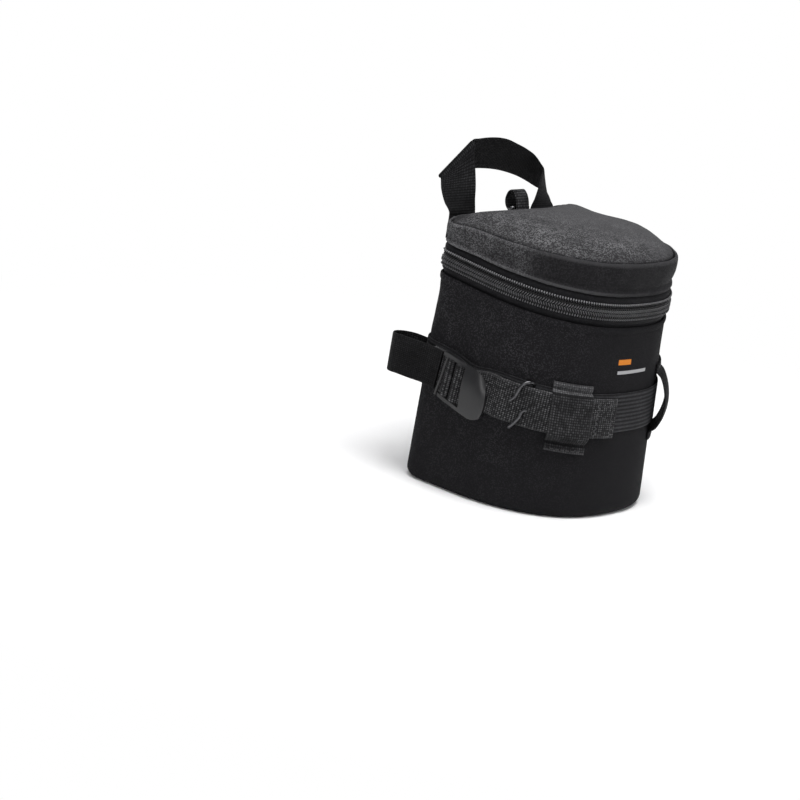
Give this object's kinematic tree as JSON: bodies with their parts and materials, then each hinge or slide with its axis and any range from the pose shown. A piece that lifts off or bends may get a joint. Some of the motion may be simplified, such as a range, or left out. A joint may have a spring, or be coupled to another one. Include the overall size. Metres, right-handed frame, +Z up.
{
  "type": "lens pouch",
  "caption": "Black padded lens pouch with a D-shaped plan, zipped lid, folded webbing handle, D-ring, belt loop, gear tabs and a side strap held by a ladder lock.",
  "frame": {"origin": "middle of the flat base, at the height of its outer face", "axes": "+Z up through the pouch, +Y towards the flat back, -Y towards the rounded front, +X to the right seen from the front"},
  "size_m": [0.1268, 0.115, 0.1703],
  "materials": {
    "outer_cloth": "matte woven polyester",
    "webbing": "woven webbing with a soft sheen",
    "lining": "smooth brushed lining",
    "foam": "closed-cell foam",
    "stiffener_board": "thin board",
    "zip_coil": "nylon coil",
    "buckle_plastic": "satin moulded plastic",
    "dark_metal": "dark plated wire",
    "grip_rubber": "moulded"
  },
  "bodies": {
    "body": {"body_shell": "outer_cloth", "back_panel": "outer_cloth", "base_panel": "outer_cloth", "wall_foam": "foam", "back_stiffener": "stiffener_board", "back_foam": "foam", "base_foam": "foam", "wall_lining": "lining", "base_lining": "lining", "mouth_binding": "webbing", "lower_zip_tape": "webbing", "lower_zip_coil": "zip_coil", "hinge_panel": "outer_cloth", "waist_band": "webbing", "adjust_strap": "webbing", "anchor_webbing": "webbing", "belt_loop": "webbing", "left_gear_tab": "webbing", "right_gear_loop": "webbing"},
    "lid": {"lid_side_band": "outer_cloth", "lid_back_wall": "outer_cloth", "lid_wall_foam": "foam", "lid_wall_lining": "lining", "lid_binding": "webbing", "lid_top_panel": "outer_cloth", "lid_top_foam": "foam", "lid_top_lining": "lining", "upper_zip_tape": "webbing", "upper_zip_coil": "zip_coil", "handle_left_end": "webbing", "handle_right_end": "webbing", "d_ring_tab": "webbing"},
    "handle": {"grab_handle": "webbing"},
    "ring": {"d_ring": "dark_metal"},
    "buckle": {"ladder_lock": "buckle_plastic"},
    "keeper": {"strap_keeper": "dark_metal"},
    "slider": {"zip_slider": "dark_metal"},
    "pull": {"zip_pull_loop": "webbing", "zip_pull_grip": "grip_rubber"}
  },
  "joints": [
    {"name": "lid_open", "type": "hinge", "parent": "body", "child": "lid", "pos_m": [0, 0.0455, 0.1142], "axis": [-1, 0, 0], "range_deg": [0, 110], "deforming": ["hinge_panel"]},
    {"name": "handle_swing", "type": "hinge", "parent": "lid", "child": "handle", "pos_m": [0, 0.0466, 0.13446], "axis": [1, 0, 0], "range_deg": [-20, 70]},
    {"name": "d_ring_swing", "type": "hinge", "parent": "lid", "child": "ring", "pos_m": [0.0108, 0.0485, 0.13486], "axis": [1, 0, 0], "range_deg": [0, 140]},
    {"name": "zip_slide", "type": "slide", "parent": "body", "child": "slider", "axis": [0, -0.9946, -0.1034], "range_m": [0, 0.015]},
    {"name": "zip_pull_swing", "type": "hinge", "parent": "slider", "child": "pull", "pos_m": [0.06125, 0.0285, 0.11246], "axis": [0, -0.9946, -0.1034], "range_deg": [0, 110]},
    {"name": "buckle_tilt", "type": "hinge", "parent": "body", "child": "buckle", "pos_m": [-0.06045, 0.01981, 0.05898], "axis": [-0.0269, 0.0946, -0.9952], "range_deg": [0, 20], "deforming": ["adjust_strap"]},
    {"name": "keeper_slide", "type": "slide", "parent": "body", "child": "keeper", "axis": [0.4128, -0.9063, -0.0906], "range_m": [-0.003, 0.003]}
  ]
}
